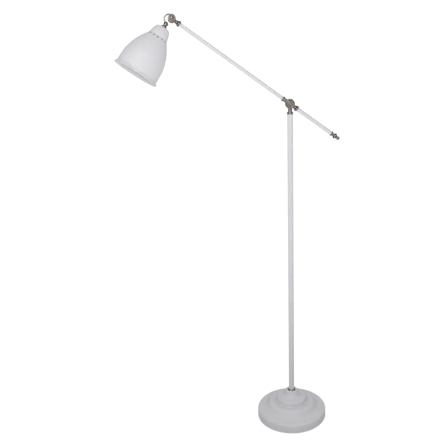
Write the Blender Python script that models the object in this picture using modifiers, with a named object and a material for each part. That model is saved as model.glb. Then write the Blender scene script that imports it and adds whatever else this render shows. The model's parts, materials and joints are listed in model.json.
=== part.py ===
"""Adjustable arm floor lamp: stepped round base, straight pole, tilting arm with a turned
finial as its short end, and a vented bell shade on a second hinge.

All sizes below are in millimetres and are scaled to metres as the objects are made.
The origin is the centre of the base's underside. +Z is up, the shade hangs towards -X and
both hinge axes run along Y, with their knobs facing -Y.
"""
import math

import bmesh
import bpy
from mathutils import Matrix

MM = 0.001
GAP = 0.3

# Driving dimensions
BASE_RADIUS = 125.0
BASE_HEIGHT = 100.0
SKIRT_TOP = 30.4
BASE_WALL = 1.8
POLE_RADIUS = 9.5
POLE_WALL = 1.2
POLE_BOTTOM = 98.4
POLE_TOP = 1113.0
HINGE_HEIGHT = 1147.0
ARM_ELEVATION = math.radians(36.1)
ARM_LONG = 459.5
ARM_RADIUS = 6.0
ARM_WALL = 1.0
SHORT_RADIUS = 6.35
SHORT_TUBE_END = 173.7
SHADE_TILT = math.radians(33.4)
HEAD_ROLL = math.radians(12.4)
SHADE_RADIUS = 68.6
SHADE_RIM_RADIUS = 73.8
SHEET = 1.0

# Hinge stack, as distances towards the front from the hinge's middle plane
DISC_GAP = 1.05
DISC_OUTER = 8.0
POLE_DISC_RADIUS = 16.2
SHADE_DISC_RADIUS = 12.5
BOLT_RADIUS = 2.9
BOLT_HOLE = 3.3
WASHER_FACE = DISC_OUTER + GAP
KNOB_FACE = 9.6
KNOB_RADIUS = 11.8

# Shade hinge bow and neck, in the shade's own frame (its axis is vertical there)
BOW_X = -6.6
BOW_Z = -4.7
BOW_RADIUS = 15.2
BOW_ROD = 2.1
BOW_DEPTH = 3.6
HOOP_FIRST = math.radians(-84.3)
HOOP_LAST = math.radians(-262.3)
RIM_TO_BOW = 205.5
CAP_EDGE = 137.6
CAP_TOP = 173.0
VENT_COUNT = 15
VENT_RADIUS = 2.7
VENT_OUT = 33.6
VENT_LEVEL = 133.2
VENT_SLOPE = math.radians(36.0)

# Threaded tubes
NIPPLE_RADIUS = 4.95
NIPPLE_BORE = 3.5
NECK_NIPPLE_RADIUS = 3.9

# Steps round each screw turn
LARGE_TURN = 32
MIDDLE_TURN = 24
SMALL_TURN = 16
TINY_TURN = 12

FRONT_FACING = (math.pi / 2, 0.0, 0.0)
FLIPPED = (math.pi, 0.0, 0.0)


def clear_scene():
    for old in list(bpy.data.objects):
        bpy.data.objects.remove(old, do_unlink=True)


def new_collection(name):
    collection = bpy.data.collections.new(name)
    bpy.context.scene.collection.children.link(collection)
    return collection


def surface(name, colour, roughness, metallic):
    """A Principled material of one colour."""
    material = bpy.data.materials.new(name)
    material.use_nodes = True
    shader = material.node_tree.nodes["Principled BSDF"]
    shader.inputs["Base Color"].default_value = (*colour, 1.0)
    shader.inputs["Roughness"].default_value = roughness
    shader.inputs["Metallic"].default_value = metallic
    return material


def bend(start, control, end, steps):
    """Points of a quadratic curve through an outline, both ends included."""
    points = []
    for i in range(steps + 1):
        t = i / steps
        a, b, c = (1 - t) ** 2, 2 * t * (1 - t), t * t
        points.append(tuple(a * s + b * k + c * e for s, k, e in zip(start, control, end)))
    return points


def arc(centre, radius, first_deg, last_deg, steps):
    """Points of a round stretch of an outline, both ends included."""
    points = []
    for i in range(steps + 1):
        angle = math.radians(first_deg + (last_deg - first_deg) * i / steps)
        points.append((centre[0] + radius * math.cos(angle), centre[1] + radius * math.sin(angle)))
    return points


def link(obj, material, collection):
    collection.objects.link(obj)
    if material:
        obj.data.materials.append(material)
    return obj


def turned(name, outline, material, turns=SMALL_TURN, collection=None):
    """A solid of revolution about local Z.

    The outline of (radius, height) pairs runs down the outer side and back up the bore; it
    is closed unless it starts and ends on the axis.
    """
    mesh = bpy.data.meshes.new(name)
    points = [(radius * MM, 0.0, height * MM) for radius, height in outline]
    edges = [(i, i + 1) for i in range(len(points) - 1)]
    if outline[0][0] > 0.0:
        edges.append((len(points) - 1, 0))
    mesh.from_pydata(points, edges, [])
    obj = link(bpy.data.objects.new(name, mesh), material, collection or parts)
    screw = obj.modifiers.new("turn", "SCREW")
    screw.axis = "Z"
    screw.steps = turns
    screw.render_steps = turns
    screw.use_merge_vertices = True
    screw.merge_threshold = 0.00001
    screw.use_smooth_shade = True
    return obj


def ring(name, outer, inner, bottom, top, material, turns=SMALL_TURN, collection=None):
    """A plain tube or washer about local Z."""
    outline = [(outer, top), (outer, bottom), (inner, bottom), (inner, top)]
    return turned(name, outline, material, turns, collection)


def rod(name, radius, bottom, top, material=None, turns=SMALL_TURN, collection=None):
    """A plain round bar about local Z."""
    outline = [(0.0, top), (radius, top), (radius, bottom), (0.0, bottom)]
    return turned(name, outline, material, turns, collection)


def hexagon(name, across_flats, bottom, top, material):
    """A hexagonal bar about local Z."""
    corner = across_flats / math.sqrt(3.0)
    return rod(name, corner, bottom, top, material, 6)


def box(name, size, centre, material=None, collection=None):
    mesh = bpy.data.meshes.new(name)
    shape = bmesh.new()
    bmesh.ops.create_cube(shape, size=1.0)
    bmesh.ops.scale(shape, vec=[side * MM for side in size], verts=shape.verts)
    bmesh.ops.translate(shape, vec=[place * MM for place in centre], verts=shape.verts)
    shape.to_mesh(mesh)
    shape.free()
    return link(bpy.data.objects.new(name, mesh), material, collection or parts)


def bar_along(name, points, radius, material=None, collection=None):
    """A round bar that follows a list of points, as a mesh with closed ends."""
    curve = bpy.data.curves.new(name, "CURVE")
    curve.dimensions = "3D"
    curve.bevel_depth = radius * MM
    curve.bevel_resolution = 2
    curve.use_fill_caps = True
    spline = curve.splines.new("POLY")
    spline.points.add(len(points) - 1)
    for knot, place in zip(spline.points, points):
        knot.co = (place[0] * MM, place[1] * MM, place[2] * MM, 1.0)
    guide = bpy.data.objects.new(name + "_guide", curve)
    parts.objects.link(guide)
    bpy.context.view_layer.update()
    evaluated = guide.evaluated_get(bpy.context.evaluated_depsgraph_get())
    mesh = bpy.data.meshes.new_from_object(evaluated)
    bpy.data.objects.remove(guide, do_unlink=True)
    shape = bmesh.new()
    shape.from_mesh(mesh)
    bmesh.ops.remove_doubles(shape, verts=shape.verts, dist=0.000001)
    shape.to_mesh(mesh)
    shape.free()
    return link(bpy.data.objects.new(name, mesh), material, collection or parts)


def place(obj, parent=None, at=(0.0, 0.0, 0.0), turn=(0.0, 0.0, 0.0)):
    obj.parent = parent
    obj.location = [value * MM for value in at]
    obj.rotation_euler = turn
    return obj


def frame_empty(name, at, turn=(0.0, 0.0, 0.0), parent=None):
    empty = bpy.data.objects.new(name, None)
    parts.objects.link(empty)
    return place(empty, parent, at, turn)


def combine(target, tool, operation):
    """Join or cut with a tool object, which stays as a hidden guide."""
    tool.hide_render = True
    tool.display_type = "WIRE"
    modifier = target.modifiers.new(operation.lower(), "BOOLEAN")
    modifier.operation = operation
    modifier.solver = "EXACT"
    modifier.object = tool


def half_disc(name, radius, side, material):
    """One round cheek of a hinge, on the front (+1) or the rear (-1) of its middle plane."""
    inner, outer, corner = DISC_GAP, DISC_OUTER, 1.6
    outline = [(0.0, outer)]
    outline += arc((radius - corner, outer - corner), corner, 90, 0, 2)
    outline += [(radius, inner), (0.0, inner)]
    disc = turned(name, outline, material, MIDDLE_TURN)
    return disc, (FRONT_FACING if side > 0 else (-math.pi / 2, 0.0, 0.0))


def cheek(name, radius, side, stems, material, parent=None, at=(0.0, 0.0, 0.0)):
    """A hinge cheek with its stems, bored for the bolt.

    Each stem is a turned solid centred on the middle plane, so the half that would enter
    the opposite cheek is cut away out to just past the disc's edge.
    """
    disc, facing = half_disc(name, radius, side, material)
    place(disc, parent, at, facing)
    keep_out = rod(name + "_clearance", radius + 0.45, -30.0, DISC_GAP + 0.2, None,
                   MIDDLE_TURN, cutters)
    place(keep_out, parent, at, facing)
    for stem in stems:
        combine(stem, keep_out, "DIFFERENCE")
        combine(disc, stem, "UNION")
    hole = rod(name + "_bolt_hole", BOLT_HOLE, -20.0, 20.0, None, TINY_TURN, cutters)
    place(hole, parent, at, FRONT_FACING)
    combine(disc, hole, "DIFFERENCE")
    return disc


def hinge_fittings(prefix, disc_radius, parent, at, knob_parent):
    """The washers, bolt and knob that clamp one hinge."""
    friction = ring(prefix + "_friction_washer", disc_radius - 1.2, BOLT_HOLE, -0.75, 0.75, fibre)
    place(friction, parent, at, FRONT_FACING)
    rear = ring(prefix + "_rear_washer", 7.0, BOLT_HOLE, -WASHER_FACE - 1.0, -WASHER_FACE, steel,
                TINY_TURN)
    place(rear, parent, at, FRONT_FACING)
    spring = turned(prefix + "_spring_washer", [(8.6, WASHER_FACE + 0.35), (8.6, WASHER_FACE),
                                                (BOLT_HOLE, WASHER_FACE + 0.4),
                                                (BOLT_HOLE, WASHER_FACE + 0.95)], steel, TINY_TURN)
    place(spring, parent, at, FRONT_FACING)
    head_face = -WASHER_FACE - 1.0 - GAP
    bolt = rod(prefix + "_bolt", BOLT_RADIUS, head_face - 1.0, 15.6, steel, TINY_TURN)
    place(bolt, parent, at, FRONT_FACING)
    head = hexagon(prefix + "_bolt_head", 10.0, head_face - 4.0, head_face, None)
    parts.objects.unlink(head)
    cutters.objects.link(head)
    place(head, parent, at, FRONT_FACING)
    combine(bolt, head, "UNION")
    outline = bend((0.0, 20.4), (5.0, 20.4), (5.0, 16.0), 3)
    outline += [(5.4, 14.8), (8.7, 14.8), (9.5, 16.2)]
    outline += arc((KNOB_RADIUS - 1.4, 15.4), 1.4, 90, 0, 2)
    outline += [(KNOB_RADIUS, 11.0), (KNOB_RADIUS - 1.0, KNOB_FACE), (3.2, KNOB_FACE)]
    outline += [(3.2, 16.0), (0.0, 16.0)]
    knob = turned(prefix + "_knob", outline, nickel, SMALL_TURN)
    place(knob, knob_parent, (0.0, 0.0, 0.0), FRONT_FACING)


def make_base():
    """Stepped cover, iron weight, felt pad, cord inlet and the threaded tube through them."""
    outline = [(5.4, 94.6), (16.3, 94.6), (16.3, BASE_HEIGHT - 0.8), (17.2, BASE_HEIGHT)]
    outline += arc((21.0, BASE_HEIGHT - 1.6), 1.6, 90, 0, 1)
    outline += bend((22.6, 96.0), (24.6, 74.8), (45.0, 75.4), 4)
    outline += bend((46.0, 75.2), (53.4, 74.4), (53.4, 69.4), 2)
    outline += [(53.2, 60.0)]
    outline += bend((54.0, 57.4), (58.6, 54.6), (64.0, 59.2), 2)
    outline += bend((68.0, 60.0), (82.0, 60.0), (87.0, 49.0), 3)
    outline += bend((88.6, 45.0), (93.0, 36.4), (105.0, 34.8), 3)
    outline += [(119.5, SKIRT_TOP + 2.0)]
    outline += arc((BASE_RADIUS - 4.5, SKIRT_TOP - 3.5), 4.5, 75, 0, 2)
    outline += [(BASE_RADIUS, 2.2), (BASE_RADIUS - 0.8, 1.0), (BASE_RADIUS - BASE_WALL, 1.0)]
    outline += [(BASE_RADIUS - BASE_WALL, SKIRT_TOP - 3.0), (98.6, 33.4), (87.0, 37.6), (77.0, 54.0)]
    outline += [(58.0, 53.4), (51.4, 53.8), (50.8, 69.4), (25.4, 76.6), (19.0, 92.2), (5.4, 92.2)]
    cover = turned("base_cover", outline, white, LARGE_TURN)
    inlet = rod("inlet_hole", 5.4, 110.0, 135.0, None, TINY_TURN, cutters)
    place(inlet, None, (0.0, 0.0, 13.0), (-math.pi / 2, 0.0, 0.0))
    combine(cover, inlet, "DIFFERENCE")

    weight = ring("base_weight", 96.0, 5.4, 3.0, 24.0, iron, MIDDLE_TURN)
    recess = rod("nut_recess", 14.0, -5.0, 17.0, None, SMALL_TURN, cutters)
    channel = box("lead_channel", (9.0, 116.0, 20.0), (0.0, 64.0, 3.0), None, cutters)
    combine(weight, recess, "DIFFERENCE")
    combine(weight, channel, "DIFFERENCE")

    ring("base_washer", 12.5, 5.4, 15.2, 16.7, steel)
    nut = hexagon("base_nut", 17.0, 9.4, 14.9, steel)
    thread = rod("base_nut_thread", 5.25, 0.0, 20.0, None, SMALL_TURN, cutters)
    combine(nut, thread, "DIFFERENCE")
    ring("base_nipple", NIPPLE_RADIUS, NIPPLE_BORE, 9.2, 118.0, steel)
    rod("base_pad", 121.5, 0.0, 2.7, felt, MIDDLE_TURN)

    wall = BASE_RADIUS - BASE_WALL
    outline = [(5.0, wall + 5.0), (7.2, wall + 3.6), (7.2, BASE_RADIUS + GAP), (5.1, BASE_RADIUS + GAP)]
    outline += [(5.1, wall - 1.1), (7.0, wall - 1.1), (7.0, wall - 3.2), (2.7, wall - 3.2)]
    outline += [(2.7, wall + 5.0)]
    gland = turned("cord_inlet", outline, rubber, TINY_TURN)
    place(gland, None, (0.0, 0.0, 13.0), (-math.pi / 2, 0.0, 0.0))


def make_pole():
    """Tube, its end plugs, the ring at its foot and the lead inside it."""
    bore = POLE_RADIUS - POLE_WALL
    ring("pole", POLE_RADIUS, bore, POLE_BOTTOM, POLE_TOP, white, MIDDLE_TURN)
    ring("pole_plug", bore - GAP, 5.25, POLE_BOTTOM + 0.2, 120.0, steel)
    outline = [(10.2, 104.2)]
    outline += bend((11.4, 103.8), (12.0, 100.6), (14.6, 99.8), 3)
    outline += [(15.9, 98.6), (15.9, 94.9), (5.4, 94.9), (5.4, 98.0), (POLE_RADIUS + GAP, 98.0)]
    outline += [(POLE_RADIUS + GAP, 104.0)]
    turned("pole_foot_ring", outline, nickel, MIDDLE_TURN)
    outline = [(6.8, 1120.6), (8.4, 1120.2), (10.2, 1118.4), (10.4, 1116.8), (9.7, 1114.6)]
    outline += [(9.7, POLE_TOP + GAP), (bore - GAP, POLE_TOP + GAP), (bore - GAP, 1096.0)]
    outline += [(4.3, 1096.0), (4.3, 1120.6)]
    turned("pole_collar", outline, nickel)
    route = [(0, 119.0, 13.0), (0, 115.5, 11.6), (0, 111.0, 8.6), (0, 105.5, 6.4), (0, 98.0, 5.4)]
    route += [(0, 12.0, 5.4), (0, 6.4, 5.5), (0, 3.0, 6.0), (0, 1.0, 7.3), (0, 0.2, 9.2)]
    route += [(0, 0, 11.5), (0, 0, 1092.0)]
    bar_along("pole_lead", route, 2.2, sleeve)


def make_pole_hinge(hinge_at):
    """The pole's cheek and the fittings that hold the arm on it."""
    outline = [(0.0, 1137.0), (6.2, 1137.0), (6.2, 1130.0), (7.0, 1128.6), (7.0, 1127.4)]
    outline += [(6.0, 1126.2), (6.0, 1123.8), (6.9, 1122.6), (6.9, 1120.9), (4.0, 1120.9)]
    outline += [(4.0, 1100.0), (0.0, 1100.0)]
    stem = turned("pole_stem", outline, None, SMALL_TURN, cutters)
    cheek("pole_knuckle", POLE_DISC_RADIUS, -1, [stem], nickel, None, hinge_at)
    hinge_fittings("arm_hinge", POLE_DISC_RADIUS, None, hinge_at,
                   frame_empty("arm_knob_pivot", hinge_at))


def collet(name, tube_radius, rim_radius, rim_at, domed):
    """A flared nickel sleeve whose wide end faces the tube; heights run out from the hinge."""
    start, seat = 18.0, 22.6
    mouth = tube_radius + GAP
    outline = [(6.0, start), (6.0, start + 2.2), (rim_radius - 0.4, rim_at - 1.2)]
    outline += [(rim_radius, rim_at)]
    if domed:
        outline += bend((rim_radius - 0.3, rim_at + 1.0), (rim_radius - 1.0, rim_at + 4.0),
                        (mouth + 0.5, rim_at + 5.0), 3)
        outline += [(mouth, rim_at + 5.0)]
    else:
        outline += [(rim_radius - 0.5, rim_at + 0.5), (mouth, rim_at - 3.0)]
    outline += [(mouth, seat), (5.1, seat), (5.1, start)]
    outline.reverse()
    return turned(name, outline, nickel)


def spigot(name, length, radius):
    """The turned stem that leaves a cheek and fills the end of a tube."""
    outline = [(0.0, length), (radius, length), (radius, 17.7), (5.9, 17.7), (6.1, 16.6)]
    outline += [(5.2, 15.0), (5.0, 10.0), (0.0, 10.0)]
    return turned(name, outline, None, SMALL_TURN, cutters)


def make_arm(pivot, tip_pivot):
    """The cheek at the pole, both tubes, their collets, the finial and the far cheek."""
    long_stem = place(spigot("arm_long_stem", 40.0, 4.7), pivot)
    short_stem = place(spigot("arm_short_stem", 40.0, 4.7), pivot, (0, 0, 0), FLIPPED)
    cheek("arm_hub", POLE_DISC_RADIUS, 1, [long_stem, short_stem], nickel, pivot)

    place(collet("arm_long_collet", ARM_RADIUS, 8.8, 29.8, False), pivot)
    place(collet("arm_short_collet", SHORT_RADIUS, 9.9, 25.6, True), pivot, (0, 0, 0), FLIPPED)
    place(collet("arm_tip_collet", ARM_RADIUS, 9.9, 25.6, True), pivot, (0, 0, ARM_LONG), FLIPPED)

    seat = 22.9
    long_tube = ring("arm_long_tube", ARM_RADIUS, ARM_RADIUS - ARM_WALL, seat, ARM_LONG - seat, white)
    place(long_tube, pivot)
    short_tube = ring("arm_short_tube", SHORT_RADIUS, SHORT_RADIUS - ARM_WALL, seat,
                      SHORT_TUBE_END, white)
    place(short_tube, pivot, (0, 0, 0), FLIPPED)
    lead = rod("arm_lead", 2.2, 42.0, ARM_LONG - 42.0, sleeve, TINY_TURN)
    place(lead, pivot)

    outline = [(0.0, 202.0), (4.4, 202.0), (5.4, 200.4)]
    outline += arc((4.6, 196.8), 1.4, 60, -60, 3)
    outline += [(4.4, 192.4), (4.4, 190.4)]
    outline += bend((5.2, 189.2), (7.8, 187.6), (9.3, 184.4), 2)
    outline += bend((9.3, 183.0), (8.4, 181.2), (5.2, 179.6), 2)
    outline += bend((4.4, 177.6), (5.0, 174.8), (7.6, 171.4), 3)
    outline += [(8.8, 169.6), (8.3, 169.0), (SHORT_RADIUS + GAP, 171.0)]
    outline += [(SHORT_RADIUS + GAP, SHORT_TUBE_END + GAP), (5.0, SHORT_TUBE_END + GAP)]
    outline += [(5.0, 154.0), (0.0, 154.0)]
    finial = turned("arm_finial", outline, nickel)
    place(finial, pivot, (0, 0, 0), FLIPPED)

    tip_stem = place(spigot("arm_tip_stem", 38.0, 4.7), tip_pivot, (0, 0, 0), FLIPPED)
    cheek("arm_knuckle", SHADE_DISC_RADIUS, 1, [tip_stem], nickel, tip_pivot)
    hinge_fittings("shade_hinge", SHADE_DISC_RADIUS, tip_pivot, (0, 0, 0),
                   frame_empty("shade_knob_pivot", (0, 0, 0), (0, 0, 0), tip_pivot))


def make_bow(pivot):
    """The open bow that carries the shade, with its rear cheek and its stem."""
    points = []
    steps = 12
    for i in range(steps + 1):
        angle = HOOP_FIRST + (HOOP_LAST - HOOP_FIRST) * i / steps
        points.append((BOW_X + BOW_RADIUS * math.cos(angle), BOW_DEPTH,
                       BOW_Z + BOW_RADIUS * math.sin(angle)))
    hoop = bar_along("bow_hoop", points, BOW_ROD, None, cutters)
    place(hoop, pivot)
    outline = [(0.0, 192.9), (3.6, 192.4), (5.2, 189.6), (7.6, 188.0), (8.3, 186.8), (8.2, 185.2)]
    outline += [(NECK_NIPPLE_RADIUS, 185.2), (NECK_NIPPLE_RADIUS, 181.6), (0.0, 181.6)]
    stem = turned("bow_stem", outline, None, SMALL_TURN, cutters)
    place(stem, pivot, (BOW_X, 0.0, BOW_Z - RIM_TO_BOW))
    disc, facing = half_disc("shade_bow", SHADE_DISC_RADIUS, -1, nickel)
    place(disc, pivot, (0, 0, 0), facing)
    combine(disc, hoop, "UNION")
    combine(disc, stem, "UNION")
    hole = rod("bow_bolt_hole", BOLT_HOLE, -20.0, 20.0, None, TINY_TURN, cutters)
    place(hole, pivot, (0, 0, 0), FRONT_FACING)
    combine(disc, hole, "DIFFERENCE")


def bell_outline():
    """The bell's sheet, from its top flange down to the flared lip and back up inside."""
    outer = [(24.0, CAP_EDGE - 0.3), (30.6, CAP_EDGE - 0.3)]
    outer += bend((31.2, CAP_EDGE - 1.2), (SHADE_RADIUS, 86.0), (SHADE_RADIUS, 30.0), 6)[1:]
    outer += [(SHADE_RADIUS + 0.2, 12.0), (SHADE_RADIUS + 0.9, 8.0)]
    outer += bend((SHADE_RADIUS + 2.2, 5.4), (SHADE_RIM_RADIUS - 0.5, 3.6), (SHADE_RIM_RADIUS, 1.4), 2)
    outer += [(SHADE_RIM_RADIUS - 0.5, 0.1), (SHADE_RIM_RADIUS - 1.6, 0.0)]
    inner = [(SHADE_RIM_RADIUS - 2.2, 1.2), (SHADE_RADIUS + 1.0, 4.6), (SHADE_RADIUS - 0.4, 7.8)]
    inner += [(SHADE_RADIUS - SHEET, 12.0)]
    inner += bend((SHADE_RADIUS - SHEET, 30.0), (SHADE_RADIUS - SHEET, 85.6),
                  (31.0, CAP_EDGE - 2.4), 6)
    inner += [(24.0, CAP_EDGE - 1.4)]
    return outer + inner


def make_shade(pivot):
    """Bell, cap, neck collar, lampholder and bulb, stacked up the shade's own axis."""
    base_level = (BOW_X, 0.0, BOW_Z - RIM_TO_BOW)
    bell = place(turned("shade_bell", bell_outline(), white, LARGE_TURN), pivot, base_level)
    vents = bmesh.new()
    for i in range(VENT_COUNT):
        angle = 2 * math.pi * (i + 0.5) / VENT_COUNT
        tool = bmesh.ops.create_cone(vents, cap_ends=True, segments=8, radius1=VENT_RADIUS * MM,
                                     radius2=VENT_RADIUS * MM, depth=9.0 * MM)["verts"]
        bmesh.ops.rotate(vents, verts=tool, matrix=Matrix.Rotation(math.pi / 2 - VENT_SLOPE, 3, "Y"))
        bmesh.ops.translate(vents, verts=tool, vec=(VENT_OUT * MM, 0.0, VENT_LEVEL * MM))
        bmesh.ops.rotate(vents, verts=tool, matrix=Matrix.Rotation(angle, 3, "Z"))
    mesh = bpy.data.meshes.new("vent_cutters")
    vents.to_mesh(mesh)
    vents.free()
    tool = link(bpy.data.objects.new("vent_cutters", mesh), None, cutters)
    place(tool, pivot, base_level)
    combine(bell, tool, "DIFFERENCE")

    outline = [(4.3, CAP_TOP), (9.0, CAP_TOP)]
    outline += bend((17.0, CAP_TOP - 1.6), (21.8, CAP_TOP - 3.2), (23.6, 165.0), 2)
    outline += bend((23.6, 165.0), (29.5, 152.0), (31.4, CAP_EDGE), 3)[1:]
    outline += [(30.2, CAP_EDGE)]
    outline += bend((30.0, CAP_EDGE + 2.0), (28.2, 151.6), (22.4, 164.4), 3)
    outline += [(20.4, 168.0), (16.6, CAP_TOP - 2.9), (9.0, CAP_TOP - 1.2), (4.3, CAP_TOP - 1.2)]
    place(turned("shade_cap", outline, white, MIDDLE_TURN), pivot, base_level)

    outline = [(7.2, 184.9), (5.7, 183.2), (5.5, 181.2), (5.7, 179.2), (8.2, 176.6), (8.5, 175.0)]
    outline += [(8.0, CAP_TOP + GAP), (4.3, CAP_TOP + GAP), (4.3, 184.9)]
    place(turned("neck_collar", outline, nickel), pivot, base_level)
    nipple = ring("neck_nipple", NECK_NIPPLE_RADIUS, 2.6, 158.6, 181.2, steel, TINY_TURN)
    place(nipple, pivot, base_level)
    nut = hexagon("neck_nut", 13.0, 167.2, CAP_TOP - 1.6, steel)
    place(nut, pivot, base_level)
    thread = rod("neck_nut_thread", 4.2, 160.0, 180.0, None, TINY_TURN, cutters)
    place(thread, pivot, base_level)
    combine(nut, thread, "DIFFERENCE")
    make_lampholder(pivot, base_level)


def make_lampholder(pivot, base_level):
    """Screw lampholder and its bulb."""
    outline = [(4.2, 166.8), (9.0, 166.8)]
    outline += bend((11.0, 166.2), (19.0, 165.0), (20.0, 152.0), 3)
    outline += [(20.0, 146.3), (17.6, 146.3), (17.6, 158.4), (4.2, 158.4)]
    place(turned("lampholder_cap", outline, bakelite), pivot, base_level)
    outline = [(17.3, 155.0), (17.3, 146.0), (19.6, 146.0), (19.0, 114.0), (15.6, 114.0)]
    outline += [(15.6, 143.0), (3.0, 143.0), (3.0, 155.0)]
    place(turned("lampholder_body", outline, bakelite), pivot, base_level)
    outline = [(15.2, 142.6), (15.2, 118.0), (14.0, 118.0), (14.0, 141.6), (6.0, 141.6), (6.0, 142.6)]
    place(turned("lampholder_screw_shell", outline, brass), pivot, base_level)
    place(rod("lampholder_contact", 2.6, 140.4, 153.0, brass, TINY_TURN), pivot, base_level)

    outline = [(0.0, 140.0), (4.4, 140.0), (6.0, 138.4), (12.6, 134.8), (13.3, 132.4)]
    outline += [(13.3, 113.0), (0.0, 113.0)]
    place(turned("bulb_cap", outline, aluminium), pivot, base_level)
    outline = [(13.0, 112.6), (13.4, 110.0)]
    outline += bend((15.0, 100.0), (29.5, 88.0), (30.0, 68.0), 4)
    outline += arc((0.0, 68.0), 30.0, -12, -90, 5)
    outline += arc((0.0, 68.0), 28.6, -90, -12, 5)
    outline += bend((28.6, 68.0), (28.0, 87.0), (13.6, 99.6), 3)
    outline += [(11.6, 112.6)]
    place(turned("bulb_globe", outline, opal), pivot, base_level)


clear_scene()
parts = new_collection("adjustable_arm_floor_lamp")
cutters = new_collection("cutters")

white = surface("white_enamel", (0.78, 0.78, 0.80), 0.45, 0.0)
nickel = surface("satin_nickel", (0.46, 0.42, 0.38), 0.25, 1.0)
steel = surface("zinc_steel", (0.56, 0.56, 0.56), 0.35, 1.0)
iron = surface("cast_iron", (0.10, 0.10, 0.11), 0.70, 0.6)
felt = surface("black_felt", (0.03, 0.03, 0.03), 0.95, 0.0)
rubber = surface("grey_rubber", (0.55, 0.55, 0.56), 0.60, 0.0)
fibre = surface("fibre_washer", (0.12, 0.09, 0.07), 0.80, 0.0)
sleeve = surface("lead_sleeve", (0.70, 0.70, 0.70), 0.50, 0.0)
bakelite = surface("lampholder_white", (0.80, 0.80, 0.78), 0.40, 0.0)
brass = surface("plated_brass", (0.70, 0.58, 0.36), 0.30, 1.0)
aluminium = surface("bulb_aluminium", (0.75, 0.75, 0.74), 0.30, 1.0)
opal = surface("opal_glass", (0.90, 0.90, 0.88), 0.20, 0.0)

arm_hinge_at = (0.0, 0.0, HINGE_HEIGHT)
arm_pivot = frame_empty("arm_pivot", arm_hinge_at, (0.0, ARM_ELEVATION - math.pi / 2, 0.0))
# The arm's far cheek is rolled about the arm, which leans the shade to the knobs' side
tip_pivot = frame_empty("tip_pivot", (0, 0, ARM_LONG), (0.0, 0.0, HEAD_ROLL), arm_pivot)
shade_pivot = frame_empty("shade_pivot", (0, 0, 0),
                          (0.0, math.pi / 2 - ARM_ELEVATION + SHADE_TILT, 0.0), tip_pivot)

make_base()
make_pole()
make_pole_hinge(arm_hinge_at)
make_arm(arm_pivot, tip_pivot)
make_bow(shade_pivot)
make_shade(shade_pivot)
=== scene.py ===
"""Looks of the adjustable arm floor lamp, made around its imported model.

Sizes in outlines are millimetres. Each turned piece is drawn about its own local Z and then
placed in a frame of the floor, the arm, the shade or a hinge's bolt.
"""
import json
import math

import bmesh
import bpy
from mathutils import Matrix, Vector


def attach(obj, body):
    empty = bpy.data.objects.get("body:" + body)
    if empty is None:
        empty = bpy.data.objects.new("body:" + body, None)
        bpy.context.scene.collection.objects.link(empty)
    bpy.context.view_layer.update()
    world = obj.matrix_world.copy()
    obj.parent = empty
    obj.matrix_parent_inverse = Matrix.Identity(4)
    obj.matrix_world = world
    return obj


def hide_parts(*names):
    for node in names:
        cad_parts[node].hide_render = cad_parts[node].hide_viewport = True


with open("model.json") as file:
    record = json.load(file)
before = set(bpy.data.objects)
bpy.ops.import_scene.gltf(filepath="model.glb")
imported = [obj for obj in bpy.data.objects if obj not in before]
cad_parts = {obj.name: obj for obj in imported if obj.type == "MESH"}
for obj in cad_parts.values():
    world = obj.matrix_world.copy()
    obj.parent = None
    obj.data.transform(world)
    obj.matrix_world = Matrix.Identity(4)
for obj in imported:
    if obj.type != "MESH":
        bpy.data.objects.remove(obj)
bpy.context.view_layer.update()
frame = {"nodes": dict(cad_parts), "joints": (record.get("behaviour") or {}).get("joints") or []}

MM = 0.001
GAP = 0.3

# Driving sizes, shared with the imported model
BASE_RADIUS = 125.0
BASE_WALL = 1.8
SKIRT_TOP = 30.4
POLE_RADIUS = 9.5
POLE_BORE = 8.3
POLE_TOP = 1113.0
ARM_RADIUS = 6.0
SHORT_RADIUS = 6.35
TUBE_WALL = 1.0
TUBE_SEAT = 22.9
SHORT_TUBE_END = 173.7
SHADE_RADIUS = 68.6
RIM_RADIUS = 73.8
CAP_EDGE = 137.6
CAP_TOP = 173.0
VENT_COUNT = 15
VENT_RADIUS = 2.7
VENT_LEVEL = 133.2
VENT_REACH = 33.6
VENT_SLOPE = math.radians(36.0)
NECK_NIPPLE_RADIUS = 3.9
INLET_HEIGHT = 13.0

# Hinge stack, as distances towards the front from the hinge's middle plane
DISC_GAP = 1.05
DISC_OUTER = 8.0
POLE_DISC = 16.2
SHADE_DISC = 12.5
BOLT_RADIUS = 2.9
BOLT_HOLE = 3.3
WASHER_FACE = DISC_OUTER + GAP
KNOB_FACE = 9.6
KNOB_RADIUS = 11.8

# Bow that carries the shade, in the shade's frame, with the hoop's ends in degrees
BOW_X = -6.6
BOW_Z = -4.7
BOW_RADIUS = 15.2
BOW_ROD = 2.1
BOW_DEPTH = 3.6
BOW_FIRST = -84.3
BOW_LAST = -262.3
RIM_TO_BOW = 205.5

# Steps round a turned piece
FINE = 160
MEDIUM = 96
SMALL = 64
FLUTED = 240
KNURLED = 320

# Corner rounding: its radius, the least turn that gets it, its share of each side, its steps
EASE = 0.35
EASE_LIMIT = math.radians(24.0)
EASE_SHARE = 0.42
EASE_STEPS = 4

# Edges that turn less than the first angle look smooth; more than the second are chamfered
SMOOTH_LIMIT = math.radians(34.0)
CHAMFER_LIMIT = math.radians(50.0)

# Points nearer to each other than REPEAT are one; a radius under ON_AXIS is on the axis
REPEAT = 0.004
ON_AXIS = 0.0001

KNOB_RIBS = 40
HOLDER_FLUTES = 30


# ---------------------------------------------------------------- frames of reference

joints = {joint["name"]: Vector(joint["pos_m"]) for joint in frame["joints"]}
arm_at, tip_at = joints["arm_tilt"], joints["shade_tilt"]
ARM_LONG = (tip_at - arm_at).length / MM
ARM_ELEVATION = math.atan2(tip_at.z - arm_at.z, arm_at.x - tip_at.x)
SHADE_TILT = math.radians(33.4)
HEAD_ROLL = math.radians(12.4)

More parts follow.
